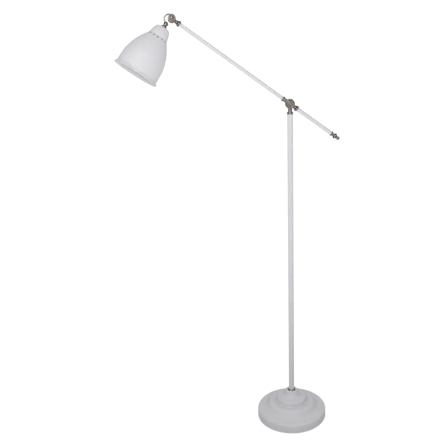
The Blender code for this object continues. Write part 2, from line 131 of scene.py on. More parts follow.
FLOOR_FRAME = Matrix.Identity(4)
FORWARD = Matrix.Rotation(math.pi / 2, 4, "X")
FLIP = Matrix.Rotation(math.pi, 4, "X")
ARM_FRAME = Matrix.Translation(arm_at) @ Matrix.Rotation(ARM_ELEVATION - math.pi / 2, 4, "Y")
ARM_END = Matrix.Translation((0.0, 0.0, ARM_LONG * MM))
# The tip hinge is rolled about the arm, which leans the shade towards the knobs' side
HEAD_TURN = ARM_END @ Matrix.Rotation(HEAD_ROLL, 4, "Z")
SHADE_TURN = Matrix.Rotation(math.pi / 2 - ARM_ELEVATION + SHADE_TILT, 4, "Y")
SHADE_PIVOT = ARM_FRAME @ HEAD_TURN @ SHADE_TURN
SHADE_FRAME = SHADE_PIVOT @ Matrix.Translation(Vector((BOW_X, 0.0, BOW_Z - RIM_TO_BOW)) * MM)
TIP_FRAME = ARM_FRAME @ ARM_END @ FLIP
SHORT_FRAME = ARM_FRAME @ FLIP
POLE_BOLT = Matrix.Translation(arm_at) @ FORWARD
ARM_BOLT = ARM_FRAME @ FORWARD
TIP_BOLT = ARM_FRAME @ HEAD_TURN @ FORWARD
SHADE_BOLT = SHADE_PIVOT @ FORWARD


# ---------------------------------------------------------------- camera

# Place in metres, and angles in degrees: about the vertical, below level, and about the view
CAMERA_PLACE = (-0.1501, -1.9855, 1.3148)
CAMERA_TURN = -2.643
CAMERA_DOWN = 14.063
CAMERA_ROLL = -0.714


def make_camera():
    """The photograph's view: from the shade's height, looking a little down at the lamp."""
    data = bpy.data.cameras.new("camera")
    data.sensor_width = 36.0
    data.lens = 49.172
    data.shift_x = -0.1215
    data.shift_y = -0.0413
    camera = bpy.data.objects.new("camera", data)
    bpy.context.scene.collection.objects.link(camera)
    turn = Matrix.Rotation(math.radians(CAMERA_TURN), 4, "Z")
    pitch = Matrix.Rotation(math.radians(90.0 - CAMERA_DOWN), 4, "X")
    roll = Matrix.Rotation(math.radians(CAMERA_ROLL), 4, "Z")
    camera.matrix_world = Matrix.Translation(CAMERA_PLACE) @ turn @ pitch @ roll
    bpy.context.scene.camera = camera


# ---------------------------------------------------------------- materials

def add(tree, kind, links=None, **settings):
    """A shader node; links gives each input either a socket to read or a constant."""
    made = tree.nodes.new("ShaderNode" + kind)
    for key, value in settings.items():
        setattr(made, key, value)
    for key, value in (links or {}).items():
        if isinstance(value, bpy.types.NodeSocket):
            tree.links.new(value, made.inputs[key])
        else:
            made.inputs[key].default_value = value
    return made


def ramp(tree, factor, stops):
    """A colour ramp through (position, colour) stops."""
    made = add(tree, "ValToRGB", {"Fac": factor})
    elements = made.color_ramp.elements
    while len(elements) < len(stops):
        elements.new(0.5)
    for element, (position, colour) in zip(elements, stops):
        element.position = position
        element.color = (*colour, 1.0)
    return made.outputs["Color"]


def noise(tree, vector, scale, detail=2.0, rough=0.5):
    made = add(tree, "TexNoise", {"Vector": vector, "Scale": scale, "Detail": detail,
                                  "Roughness": rough})
    return made.outputs["Fac"]


def remap(tree, value, low, high, start=0.3, end=0.7):
    made = add(tree, "MapRange", {"Value": value, "From Min": start, "From Max": end,
                                  "To Min": low, "To Max": high})
    return made.outputs["Result"]


def bump(tree, height, distance, strength, normal=None):
    links = {"Height": height, "Distance": distance, "Strength": strength}
    if normal:
        links["Normal"] = normal
    return add(tree, "Bump", links).outputs["Normal"]


def crevice(tree, reach):
    """1 on open surfaces, falling towards 0 in corners narrower than reach metres."""
    made = add(tree, "AmbientOcclusion", {"Distance": reach}, samples=8, only_local=True)
    return made.outputs["AO"]


def mix(tree, factor, first, second):
    made = add(tree, "MixRGB", {"Fac": factor, "Color1": first, "Color2": second})
    return made.outputs["Color"]


def start_material(name, metallic=0.0):
    material = bpy.data.materials.new(name)
    material.use_nodes = True
    tree = material.node_tree
    shader = tree.nodes["Principled BSDF"]
    shader.inputs["Metallic"].default_value = metallic
    place = add(tree, "TexCoord").outputs["Object"]
    return material, tree, shader, place


def wire(tree, shader, colour, roughness, normal):
    for name, socket in (("Base Color", colour), ("Roughness", roughness), ("Normal", normal)):
        tree.links.new(socket, shader.inputs[name])


def round_place(tree, place):
    """The outward vector from the turning axis, its length, and the height along the axis."""
    flat = add(tree, "VectorMath", {0: place, 1: (1.0, 1.0, 0.0)}, operation="MULTIPLY")
    outward = flat.outputs["Vector"]
    radius = add(tree, "VectorMath", {0: outward}, operation="LENGTH").outputs["Value"]
    height = add(tree, "SeparateXYZ", {0: place}).outputs["Z"]
    return outward, radius, height


def turning_marks(tree, place):
    """Fine rings left by the lathe: noise that changes with radius and height only."""
    _, radius, height = round_place(tree, place)
    swept = add(tree, "CombineXYZ", {"X": radius, "Z": height})
    return noise(tree, swept.outputs["Vector"], 2600.0, 3.0)


def multiply(tree, first, second):
    return add(tree, "Math", {0: first, 1: second}, operation="MULTIPLY").outputs["Value"]


def inner_top_shade(tree, place):
    """1 on the surfaces that face the axis above the bulb, where the enamel is painted near black
    as shade.

    The least radius keeps it off the pole's and the arm's tubes.
    """
    outward, radius, height = round_place(tree, place)
    facing = add(tree, "TexCoord").outputs["Normal"]
    unit = add(tree, "VectorMath", {0: outward}, operation="NORMALIZE").outputs["Vector"]
    lean = add(tree, "VectorMath", {0: unit, 1: facing}, operation="DOT_PRODUCT").outputs["Value"]
    inner = remap(tree, lean, 1.0, 0.0, -0.30, -0.15)
    wide = remap(tree, radius, 0.0, 1.0, 0.012, 0.014)
    raised = remap(tree, height, 0.0, 1.0, 0.102, 0.120)
    return multiply(tree, multiply(tree, inner, wide), raised)


def white_enamel():
    """Satin powder coat: faint orange peel, fine grit, painted shade in corners and painted shade
    inside the shade's top.
    """
    material, tree, shader, place = start_material("white_enamel")
    tone = ramp(tree, noise(tree, place, 26.0, 4.0), [(0.3, (0.712, 0.708, 0.738)),
                                                     (0.7, (0.735, 0.731, 0.758))])
    # Painted shade: the enamel turns grey in corners and creases narrower than 12 mm
    corner = remap(tree, crevice(tree, 0.012), 0.0, 1.0, 0.1, 0.7)
    corner_shaded = mix(tree, corner, (0.60, 0.595, 0.61, 1.0), tone)
    # Painted shade: surfaces facing the axis inside the shade's top go near black
    colour = mix(tree, inner_top_shade(tree, place), corner_shaded, (0.045, 0.036, 0.028, 1.0))
    peel = bump(tree, noise(tree, place, 420.0, 2.0), 0.000012, 0.5)
    grit = bump(tree, noise(tree, place, 2200.0, 2.0), 0.000003, 0.5, peel)
    rough = remap(tree, noise(tree, place, 60.0, 3.0), 0.42, 0.54)
    wire(tree, shader, colour, rough, grit)
    return material


def satin_nickel():
    """Warm nickel plate with lathe rings, soft blotches and brown patina in its grooves."""
    material, tree, shader, place = start_material("satin_nickel", 1.0)
    plate = ramp(tree, noise(tree, place, 140.0, 4.0), [(0.3, (0.41, 0.36, 0.32)),
                                                       (0.7, (0.52, 0.47, 0.43))])
    corner = remap(tree, crevice(tree, 0.008), 0.0, 1.0, 0.45, 0.97)
    colour = mix(tree, corner, (0.055, 0.038, 0.025, 1.0), plate)
    marks = turning_marks(tree, place)
    rough = remap(tree, noise(tree, place, 320.0, 3.0), 0.13, 0.22)
    wire(tree, shader, colour, rough, bump(tree, marks, 0.00002, 0.5))
    return material


def zinc_steel():
    """Zinc plated steel with a faint spangle."""
    material, tree, shader, place = start_material("zinc_steel", 1.0)
    cells = add(tree, "TexVoronoi", {"Vector": place, "Scale": 380.0}).outputs["Color"]
    grey = add(tree, "RGBToBW", {"Color": cells}).outputs["Val"]
    colour = ramp(tree, grey, [(0.1, (0.44, 0.45, 0.46)), (0.9, (0.60, 0.61, 0.63))])
    rough = remap(tree, noise(tree, place, 500.0), 0.28, 0.46)
    wire(tree, shader, colour, rough, bump(tree, turning_marks(tree, place), 0.00002, 0.4))
    return material


def cast_iron():
    material, tree, shader, place = start_material("cast_iron", 0.6)
    sand = noise(tree, place, 700.0, 5.0, 0.7)
    colour = ramp(tree, sand, [(0.3, (0.045, 0.043, 0.045)), (0.7, (0.13, 0.12, 0.12))])
    rough = remap(tree, sand, 0.6, 0.85)
    wire(tree, shader, colour, rough, bump(tree, sand, 0.0004, 0.8))
    return material


def black_felt():
    material, tree, shader, place = start_material("black_felt")
    stretched = add(tree, "Mapping", {"Vector": place, "Rotation": (0.0, 0.0, 0.6),
                                      "Scale": (1.0, 4.0, 1.0)}).outputs["Vector"]
    fibres = noise(tree, stretched, 900.0, 6.0, 0.7)
    colour = ramp(tree, fibres, [(0.35, (0.012, 0.012, 0.013)), (0.7, (0.06, 0.06, 0.062))])
    shader.inputs["Sheen Weight"].default_value = 0.5
    shader.inputs["Sheen Roughness"].default_value = 0.6
    wire(tree, shader, colour, remap(tree, fibres, 0.9, 1.0), bump(tree, fibres, 0.0006, 0.8))
    return material


def grey_rubber():
    material, tree, shader, place = start_material("grey_rubber")
    grain = noise(tree, place, 1500.0, 3.0)
    colour = ramp(tree, noise(tree, place, 90.0), [(0.3, (0.50, 0.50, 0.51)),
                                                  (0.7, (0.58, 0.58, 0.59))])
    wire(tree, shader, colour, remap(tree, grain, 0.55, 0.72), bump(tree, grain, 0.00005, 0.6))
    return material


def fibre_washer():
    material, tree, shader, place = start_material("fibre_washer")
    fibres = noise(tree, place, 1100.0, 5.0, 0.7)
    colour = ramp(tree, fibres, [(0.3, (0.07, 0.045, 0.03)), (0.7, (0.17, 0.12, 0.085))])
    wire(tree, shader, colour, remap(tree, fibres, 0.75, 0.9), bump(tree, fibres, 0.0001, 0.7))
    return material


def lead_sleeve():
    material, tree, shader, place = start_material("lead_sleeve")
    braid = add(tree, "TexWave", {"Vector": place, "Scale": 220.0, "Distortion": 0.4},
                bands_direction="DIAGONAL").outputs["Fac"]
    colour = ramp(tree, braid, [(0.2, (0.60, 0.60, 0.60)), (0.8, (0.74, 0.74, 0.74))])
    wire(tree, shader, colour, remap(tree, braid, 0.45, 0.6, 0.0, 1.0),
         bump(tree, braid, 0.0002, 0.6))
    return material


def lampholder_white():
    """Moulded thermoset: glossy, with the faint flow of the mould."""
    material, tree, shader, place = start_material("lampholder_white")
    flow = noise(tree, place, 120.0, 3.0)
    colour = ramp(tree, flow, [(0.3, (0.76, 0.76, 0.73)), (0.7, (0.82, 0.82, 0.80))])
    shader.inputs["Coat Weight"].default_value = 0.2
    wire(tree, shader, colour, remap(tree, flow, 0.28, 0.42),
         bump(tree, noise(tree, place, 900.0), 0.00004, 0.5))
    return material


def plated_brass():
    material, tree, shader, place = start_material("plated_brass", 1.0)
    colour = ramp(tree, noise(tree, place, 220.0, 4.0), [(0.3, (0.58, 0.45, 0.24)),
                                                        (0.7, (0.74, 0.61, 0.38))])
    wire(tree, shader, colour, remap(tree, noise(tree, place, 600.0), 0.22, 0.4),
         bump(tree, turning_marks(tree, place), 0.00002, 0.4))
    return material


def bulb_aluminium():
    material, tree, shader, place = start_material("bulb_aluminium", 1.0)
    colour = ramp(tree, noise(tree, place, 260.0, 3.0), [(0.3, (0.66, 0.66, 0.65)),
                                                        (0.7, (0.78, 0.78, 0.77))])
    wire(tree, shader, colour, remap(tree, noise(tree, place, 700.0), 0.25, 0.42),
         bump(tree, turning_marks(tree, place), 0.00003, 0.5))
    return material


def opal_glass():
    """Opal bulb: white glass that scatters light a few millimetres deep, under a clear coat."""
    material, tree, shader, place = start_material("opal_glass")
    cloud = noise(tree, place, 45.0, 3.0)
    colour = ramp(tree, cloud, [(0.3, (0.86, 0.86, 0.84)), (0.7, (0.92, 0.92, 0.90))])
    shader.inputs["Subsurface Weight"].default_value = 0.4
    shader.inputs["Subsurface Scale"].default_value = 0.006
    shader.inputs["Coat Weight"].default_value = 0.6
    shader.inputs["Coat Roughness"].default_value = 0.05
    wire(tree, shader, colour, remap(tree, cloud, 0.18, 0.3),
         bump(tree, noise(tree, place, 300.0), 0.00003, 0.4))
    return material


def make_finishes():
    makers = (white_enamel, satin_nickel, zinc_steel, cast_iron, black_felt, grey_rubber,
              fibre_washer, lead_sleeve, lampholder_white, plated_brass, bulb_aluminium,
              opal_glass)
    return {maker.__name__: maker() for maker in makers}


# ---------------------------------------------------------------- outlines

def bend(start, control, end, steps):
    """Points of a quadratic curve through an outline, both ends included."""
    points = []
    for i in range(steps + 1):
        t = i / steps
        a, b, c = (1 - t) ** 2, 2 * t * (1 - t), t * t
        points.append(tuple(a * s + b * k + c * e for s, k, e in zip(start, control, end)))
    return points


def arc(centre, radius, first_deg, last_deg, steps):
    """Points of a round stretch of an outline, both ends included."""
    points = []
    for i in range(steps + 1):
        angle = math.radians(first_deg + (last_deg - first_deg) * i / steps)
        points.append((centre[0] + radius * math.cos(angle), centre[1] + radius * math.sin(angle)))
    return points


def without_repeats(points):
    kept = [points[0]]
    for point in points[1:]:
        if (Vector(point) - Vector(kept[-1])).length > REPEAT:
            kept.append(point)
    if (Vector(kept[0]) - Vector(kept[-1])).length < REPEAT:
        kept.pop()
    return kept


def eased(points, radius=EASE):
    """The outline with each sharp corner turned into a small round one."""
    points = without_repeats(points)
    on_axis = points[0][0] == 0.0
    result = []
    for i, point in enumerate(points):
        here = Vector(point)
        before = Vector(points[i - 1]) - here
        after = Vector(points[(i + 1) % len(points)]) - here
        turn = math.pi - before.angle(after)
        if turn < EASE_LIMIT or (on_axis and i in (0, len(points) - 1)):
            result.append(point)
            continue
        reach = min(radius * math.tan(turn / 2), EASE_SHARE * before.length,
                    EASE_SHARE * after.length)
        first = here + before.normalized() * reach
        last = here + after.normalized() * reach
        result += bend(tuple(first), point, tuple(last), EASE_STEPS)
    return result


# ---------------------------------------------------------------- meshes

def lathe(name, outline, turns, wobble=None):
    """A solid of revolution about local Z.

    The outline of (radius, height) pairs runs down the outer side and back up the bore. It
    closes on itself unless it starts and ends on the axis. wobble(radius, height, angle)
    gives the radius of each point where a knurl or a thread leaves the round.
    """
    shape = bmesh.new()
    rings = []
    for radius, height in outline:
        if radius < ON_AXIS:
            rings.append([shape.verts.new((0.0, 0.0, height * MM))])
            continue
        ring = []
        for k in range(turns):
            angle = 2 * math.pi * k / turns
            reach = wobble(radius, height, angle) if wobble else radius
            ring.append(shape.verts.new((reach * math.cos(angle) * MM,
                                         reach * math.sin(angle) * MM, height * MM)))
        rings.append(ring)
    closed = outline[0][0] > ON_AXIS
    following = rings[1:] + (rings[:1] if closed else [])
    for upper, lower in zip(rings, following):
        for k in range(turns):
            corners = [upper[k % len(upper)], lower[k % len(lower)],
                       lower[(k + 1) % len(lower)], upper[(k + 1) % len(upper)]]
            distinct = list(dict.fromkeys(corners))
            if len(distinct) > 2:
                shape.faces.new(distinct)
    return as_object(name, shape)


def as_object(name, shape):
    mesh = bpy.data.meshes.new(name)
    shape.to_mesh(mesh)
    shape.free()
    obj = bpy.data.objects.new(name, mesh)
    bpy.context.scene.collection.objects.link(obj)
    return obj


def bar_along(name, points, radius):
    """A round bar that follows a list of points, as a mesh with closed ends."""
    curve = bpy.data.curves.new(name, "CURVE")
    curve.dimensions = "3D"
    curve.bevel_depth = radius * MM
    curve.bevel_resolution = 8
    curve.use_fill_caps = True
    spline = curve.splines.new("POLY")
    spline.points.add(len(points) - 1)
    for knot, point in zip(spline.points, points):
        knot.co = (*(value * MM for value in point), 1.0)
    guide = bpy.data.objects.new(name + "_guide", curve)
    bpy.context.scene.collection.objects.link(guide)
    mesh = evaluated_mesh(guide)
    bpy.data.objects.remove(guide)
    shape = bmesh.new()
    shape.from_mesh(mesh)
    bmesh.ops.remove_doubles(shape, verts=shape.verts, dist=0.000001)
    return as_object(name, shape)


def evaluated_mesh(obj):
    bpy.context.view_layer.update()
    return bpy.data.meshes.new_from_object(obj.evaluated_get(bpy.context.evaluated_depsgraph_get()))


def combine(target, tool, operation):
    """Joins or cuts with a tool object and removes the tool."""
    modifier = target.modifiers.new(operation.lower(), "BOOLEAN")
    modifier.operation = operation
    modifier.solver = "EXACT"
    modifier.object = tool
    mesh = evaluated_mesh(target)
    target.modifiers.clear()
    target.data = mesh
    bpy.data.objects.remove(tool)


def chamfer(target, width, segments):
    """Rounds a mesh's sharp edges."""
    modifier = target.modifiers.new("chamfer", "BEVEL")
    modifier.width = width * MM
    modifier.segments = segments
    modifier.limit_method = "ANGLE"
    modifier.angle_limit = CHAMFER_LIMIT
    mesh = evaluated_mesh(target)
    target.modifiers.clear()
    target.data = mesh


def put(obj, place, body, finish, *nodes):
    """Places a finished piece, shades it, gives it its finish, ties it to its body and hides the
    CAD nodes it stands for.
    """
    obj.matrix_world = place
    obj.data.shade_smooth()
    obj.data.set_sharp_from_angle(angle=SMOOTH_LIMIT)
    obj.data.materials.clear()
    obj.data.materials.append(finishes[finish])
    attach(obj, body)
    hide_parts(*nodes)


def turned_piece(node, outline, turns, place, body, finish, ease=EASE, wobble=None):
    """A turned piece that stands for the CAD node of nearly the same name."""
    shown = lathe(node + "_shown", eased(outline, ease), turns, wobble)
    put(shown, place, body, finish, node)


def ring_outline(outer, inner, bottom, top):
    return [(outer, top), (outer, bottom), (inner, bottom), (inner, top)]


# ---------------------------------------------------------------- base and pole

def make_base():
    """Stepped spun cover with its rolled skirt, felt pad and the grommet at the back."""
    outline = [(5.4, 94.6), (13.7, 94.6), (13.7, 100.0)]
    outline += bend((14.0, 100.9), (20.6, 103.4), (22.6, 98.4), 10)
    outline += bend((22.8, 97.2), (24.2, 74.6), (45.0, 75.6), 20)
    outline += bend((47.0, 75.7), (53.0, 75.2), (53.4, 70.0), 12)
    outline += [(53.3, 65.0)]
    outline += bend((53.2, 60.6), (54.6, 55.0), (64.0, 59.2), 14)
    outline += bend((68.0, 60.4), (81.0, 61.2), (87.0, 49.0), 14)
    outline += bend((88.0, 46.8), (92.6, 35.6), (106.0, 34.8), 16)
    outline += [(112.0, 33.8), (118.0, 32.8)]
    outline += bend((119.5, SKIRT_TOP + 2.2), (124.9, SKIRT_TOP + 0.4), (BASE_RADIUS, 24.4), 10)
    outline += [(BASE_RADIUS, 3.0)]
    outline += bend((BASE_RADIUS, 2.4), (BASE_RADIUS, 1.0), (BASE_RADIUS - 0.9, 1.0), 5)
    wall = BASE_RADIUS - BASE_WALL
    outline += [(wall, 1.4), (wall, SKIRT_TOP - 3.0), (98.6, 33.4), (87.0, 37.6), (77.0, 54.0)]
    outline += [(58.0, 53.4), (51.4, 53.8), (50.8, 69.4), (25.4, 76.6), (19.0, 92.2), (5.4, 92.2)]
    cover = lathe("base_cover_shown", eased(outline), FINE)
    hole = lathe("inlet_hole", [(0.0, 135.0), (5.4, 135.0), (5.4, 110.0), (0.0, 110.0)], SMALL)
    backward = Matrix.Rotation(-math.pi / 2, 4, "X")
    hole.matrix_world = Matrix.Translation((0.0, 0.0, INLET_HEIGHT * MM)) @ backward
    combine(cover, hole, "DIFFERENCE")
    put(cover, FLOOR_FRAME, "base", "white_enamel", "base_cover")

    pad = [(0.0, 2.7), (121.5, 2.7), (121.5, 0.0), (0.0, 0.0)]
    turned_piece("base_pad", pad, FINE, FLOOR_FRAME, "base", "black_felt", 0.9)

    gland = [(5.0, wall + 4.6), (6.4, wall + 4.4), (7.2, wall + 3.4), (7.2, BASE_RADIUS + GAP)]
    gland += [(5.1, BASE_RADIUS + GAP), (5.1, wall - 1.1), (7.0, wall - 1.1), (7.0, wall - 3.2)]
    gland += [(2.7, wall - 3.2), (2.7, wall + 4.0), (3.2, wall + 5.0)]
    at_back = Matrix.Translation((0.0, 0.0, INLET_HEIGHT * MM)) @ backward
    turned_piece("cord_inlet", gland, SMALL, at_back, "base", "grey_rubber")


def make_pole():
    """Tube, the nickel ring at its foot and the collar under the hinge."""
    tube = ring_outline(POLE_RADIUS, POLE_BORE, 98.4, POLE_TOP)
    turned_piece("pole", tube, MEDIUM, FLOOR_FRAME, "base", "white_enamel", 0.3)

    foot = [(10.0, 104.2), (10.6, 104.2)]
    foot += bend((11.0, 104.0), (11.4, 102.2), (12.9, 101.4), 10)
    foot += [(13.3, 100.8), (13.3, 94.9), (5.4, 94.9), (5.4, 98.0), (POLE_RADIUS + GAP, 98.0)]
    foot += [(POLE_RADIUS + GAP, 104.0)]
    turned_piece("pole_foot_ring", foot, MEDIUM, FLOOR_FRAME, "base", "satin_nickel", 0.25)

    collar = [(6.8, 1120.6)]
    collar += bend((8.0, 1120.5), (9.9, 1120.0), (10.35, 1117.4), 10)
    collar += bend((10.4, 1116.8), (10.2, 1115.6), (9.7, 1114.9), 4)
    collar += [(9.7, POLE_TOP + GAP), (8.0, POLE_TOP + GAP), (8.0, 1096.0), (4.3, 1096.0)]
    collar += [(4.3, 1120.6)]
    turned_piece("pole_collar", collar, SMALL, FLOOR_FRAME, "base", "satin_nickel", 0.25)


# ---------------------------------------------------------------- hinges

def cheek_outline(radius):
    """Half of a hinge: flat inside and, on the larger hinge, dished with a rim outside."""
    outline = [(0.0, DISC_OUTER), (9.3, DISC_OUTER)]
    if radius == POLE_DISC:
        outline += bend((9.5, DISC_OUTER), (9.8, DISC_OUTER - 0.9), (10.6, DISC_OUTER - 1.0), 5)
        outline += bend((12.4, DISC_OUTER - 1.0), (13.1, DISC_OUTER - 0.9), (13.3, 7.8), 5)
        outline += arc((14.5, 6.6), 1.3, 120, 10, 8)
        outline += [(radius - 0.2, 5.8), (radius, 5.2)]
    else:
        outline += arc((radius - 1.7, DISC_OUTER - 1.7), 1.7, 90, 0, 8)
    return outline + [(radius, DISC_GAP), (0.0, DISC_GAP)]


def make_cheek(node, radius, rear, stems, bolt_place, body):
    """A hinge cheek with its stems; each stem is kept out of the opposite cheek's place."""
    facing = bolt_place @ (FLIP if rear else Matrix.Identity(4))
    disc = lathe(node + "_shown", eased(cheek_outline(radius), 0.3), MEDIUM)
    disc.matrix_world = facing
    for stem, cut_back in stems:
        if cut_back:
            clearance = [(0.0, DISC_GAP + 0.2), (radius + 0.45, DISC_GAP + 0.2),
                         (radius + 0.45, -30.0), (0.0, -30.0)]
            tool = lathe("clearance", clearance, MEDIUM)
            tool.matrix_world = facing
            combine(stem, tool, "DIFFERENCE")
        combine(disc, stem, "UNION")
    hole = lathe("bolt_hole", [(0.0, 20.0), (BOLT_HOLE, 20.0), (BOLT_HOLE, -20.0), (0.0, -20.0)],
                 SMALL)
    hole.matrix_world = bolt_place
    combine(disc, hole, "DIFFERENCE")
    put(disc, facing, body, "satin_nickel", node)


def make_stem(outline, place):
    """A turned stem, in its place and ready to be joined to a cheek."""
    stem = lathe("stem", eased(outline, 0.3), SMALL)
    stem.matrix_world = place
    return stem


def knurl(radius, height, angle):
    """Straight ribs round the knob's edge."""
    if radius > KNOB_RADIUS - 0.9 and 10.2 < height < 16.4:
        return radius - 0.32 * (0.5 - 0.5 * math.cos(KNOB_RIBS * angle)) ** 1.5
    return radius


def make_hinge(prefix, radius, bolt_place, body, knob_body):
    """Washers, bolt and knurled knob that clamp one hinge."""
    fibre = ring_outline(radius - 1.2, BOLT_HOLE, -0.75, 0.75)
    turned_piece(prefix + "_friction_washer", fibre, MEDIUM, bolt_place, body, "fibre_washer",
                 0.15)
    rear = ring_outline(7.0, BOLT_HOLE, -WASHER_FACE - 1.0, -WASHER_FACE)
    turned_piece(prefix + "_rear_washer", rear, SMALL, bolt_place, body, "zinc_steel", 0.2)
    spring = [(8.6, WASHER_FACE + 0.35), (8.6, WASHER_FACE), (BOLT_HOLE, WASHER_FACE + 0.4),
              (BOLT_HOLE, WASHER_FACE + 0.95)]
    turned_piece(prefix + "_spring_washer", spring, SMALL, bolt_place, body, "zinc_steel", 0.12)

    head_face = -WASHER_FACE - 1.0 - GAP
    shank = [(0.0, 15.6), (BOLT_RADIUS, 15.6), (BOLT_RADIUS, head_face - 1.0),
             (0.0, head_face - 1.0)]
    bolt = lathe(prefix + "_bolt_shown", eased(shank, 0.4), SMALL)
    across_flats = 10.0
    corner = across_flats / math.sqrt(3.0)
    head = lathe("head", [(0.0, head_face), (corner, head_face), (corner, head_face - 4.0),
                          (0.0, head_face - 4.0)], 6)
    chamfer(head, 0.5, 3)
    combine(bolt, head, "UNION")
    put(bolt, bolt_place, body, "zinc_steel", prefix + "_bolt")

    outline = bend((0.0, 20.4), (5.0, 20.4), (5.0, 16.0), 10)
    outline += [(5.4, 14.8), (8.7, 14.8)]
    outline += bend((8.9, 15.0), (9.3, 16.7), (10.4, 16.8), 6)
    outline += bend((10.5, 16.8), (11.8, 16.8), (KNOB_RADIUS, 15.4), 6)
    outline += [(KNOB_RADIUS, height / 10) for height in range(150, 110, -5)]
    outline += [(KNOB_RADIUS, 11.0), (KNOB_RADIUS - 1.0, KNOB_FACE), (3.2, KNOB_FACE)]
    outline += [(3.2, 16.0), (0.0, 16.0)]
    turned_piece(prefix + "_knob", outline, KNURLED, bolt_place, knob_body, "satin_nickel", 0.3,
                 knurl)


def make_pole_knuckle():
    """The pole's cheek on its turned neck."""
    outline = [(0.0, 1139.0), (6.2, 1139.0), (6.2, 1130.6)]
    outline += bend((6.3, 1130.2), (7.4, 1128.9), (7.0, 1127.2), 8)
    outline += bend((6.8, 1126.8), (5.4, 1125.0), (6.2, 1123.2), 8)
    outline += bend((6.3, 1123.0), (7.2, 1122.2), (6.9, 1120.9), 5)
    outline += [(4.0, 1120.9), (4.0, 1100.0), (0.0, 1100.0)]
    stem = make_stem(outline, FLOOR_FRAME)
    make_cheek("pole_knuckle", POLE_DISC, True, [(stem, True)], POLE_BOLT, "base")


# ---------------------------------------------------------------- arm

def spigot_outline(length):
    """The turned stem that leaves a cheek and fills the end of a tube."""
    return [(0.0, length), (4.7, length), (4.7, 17.7), (5.9, 17.7), (6.1, 16.6), (5.2, 15.0),
            (5.0, 10.0), (0.0, 10.0)]


def collet_outline(tube_radius, rim_radius, rim_at, domed):
    """A flared sleeve with its wide end towards the tube; heights run out from the hinge."""
    start, seat = 18.0, 22.6
    mouth = tube_radius + GAP
    outline = [(5.9, start)]
    outline += bend((6.0, start + 0.3), (6.0, start + 2.6), (rim_radius - 0.5, rim_at - 1.2), 8)
    outline += [(rim_radius - 0.1, rim_at - 0.7), (rim_radius, rim_at)]
    if domed:
        outline += bend((rim_radius - 0.3, rim_at + 1.0), (rim_radius - 1.0, rim_at + 4.0),
                        (mouth + 0.5, rim_at + 5.0), 8)
        outline += [(mouth, rim_at + 5.0)]
    else:
        outline += [(rim_radius - 0.5, rim_at + 0.5), (mouth, rim_at - 3.0)]
    outline += [(mouth, seat), (5.1, seat), (5.1, start)]
    outline.reverse()
    return outline


def finial_outline():
    """Two beads and a waist, with a socket that swallows the short tube's end."""
    outline = [(0.0, 202.0), (3.8, 202.0)]
    outline += bend((4.4, 202.0), (4.9, 201.6), (5.0, 199.4), 6)
    outline += arc((4.6, 196.8), 1.4, 70, -70, 10)
    outline += bend((4.9, 194.6), (4.2, 192.6), (4.5, 190.2), 6)
    outline += bend((4.6, 190.0), (7.6, 188.6), (9.1, 184.9), 8)
    outline += bend((9.3, 184.2), (9.1, 180.6), (5.3, 179.7), 8)
    outline += bend((4.9, 179.4), (3.9, 174.8), (7.4, 171.5), 10)
    outline += [(8.8, 169.8), (8.6, 169.2), (8.2, 169.0), (SHORT_RADIUS + GAP, 171.0)]
    outline += [(SHORT_RADIUS + GAP, SHORT_TUBE_END + GAP), (5.0, SHORT_TUBE_END + GAP)]
    return outline + [(5.0, 154.0), (0.0, 154.0)]


def make_arm():
    """Both tubes, their collets, the finial and a cheek at each hinge."""
    stems = [(make_stem(spigot_outline(40.0), ARM_FRAME), True),
             (make_stem(spigot_outline(40.0), SHORT_FRAME), True)]
    make_cheek("arm_hub", POLE_DISC, False, stems, ARM_BOLT, "arm")
    stems = [(make_stem(spigot_outline(38.0), TIP_FRAME), True)]
    make_cheek("arm_knuckle", SHADE_DISC, False, stems, TIP_BOLT, "arm")

    sleeves = (("arm_long_collet", (ARM_RADIUS, 8.8, 29.8, False), ARM_FRAME),
               ("arm_short_collet", (SHORT_RADIUS, 9.9, 25.6, True), SHORT_FRAME),
               ("arm_tip_collet", (ARM_RADIUS, 9.9, 25.6, True), TIP_FRAME))
    for node, sizes, place in sleeves:
        turned_piece(node, collet_outline(*sizes), SMALL, place, "arm", "satin_nickel", 0.25)

    long_tube = ring_outline(ARM_RADIUS, ARM_RADIUS - TUBE_WALL, TUBE_SEAT, ARM_LONG - TUBE_SEAT)
    turned_piece("arm_long_tube", long_tube, SMALL, ARM_FRAME, "arm", "white_enamel", 0.25)
    short_tube = ring_outline(SHORT_RADIUS, SHORT_RADIUS - TUBE_WALL, TUBE_SEAT, SHORT_TUBE_END)
    turned_piece("arm_short_tube", short_tube, SMALL, SHORT_FRAME, "arm", "white_enamel", 0.25)
    turned_piece("arm_finial", finial_outline(), SMALL, SHORT_FRAME, "arm", "satin_nickel", 0.25)


# ---------------------------------------------------------------- shade

def make_bow():
    """The open bow that carries the shade, with its rear cheek and flanged stem."""
    points = []
    steps = 64
    for i in range(steps + 1):
        angle = math.radians(BOW_FIRST + (BOW_LAST - BOW_FIRST) * i / steps)
        points.append((BOW_X + BOW_RADIUS * math.cos(angle), BOW_DEPTH,
                       BOW_Z + BOW_RADIUS * math.sin(angle)))
    hoop = bar_along("hoop", points, BOW_ROD)
    hoop.matrix_world = SHADE_PIVOT
    outline = [(0.0, 192.9), (2.8, 192.9)]
    outline += bend((3.6, 192.6), (4.6, 189.2), (6.8, 188.2), 6)
    outline += bend((7.4, 188.0), (8.7, 187.2), (8.2, 185.2), 6)
    outline += [(NECK_NIPPLE_RADIUS, 185.2), (NECK_NIPPLE_RADIUS, 181.6), (0.0, 181.6)]
    stem = make_stem(outline, SHADE_FRAME)
    make_cheek("shade_bow", SHADE_DISC, True, [(hoop, False), (stem, False)], SHADE_BOLT, "shade")


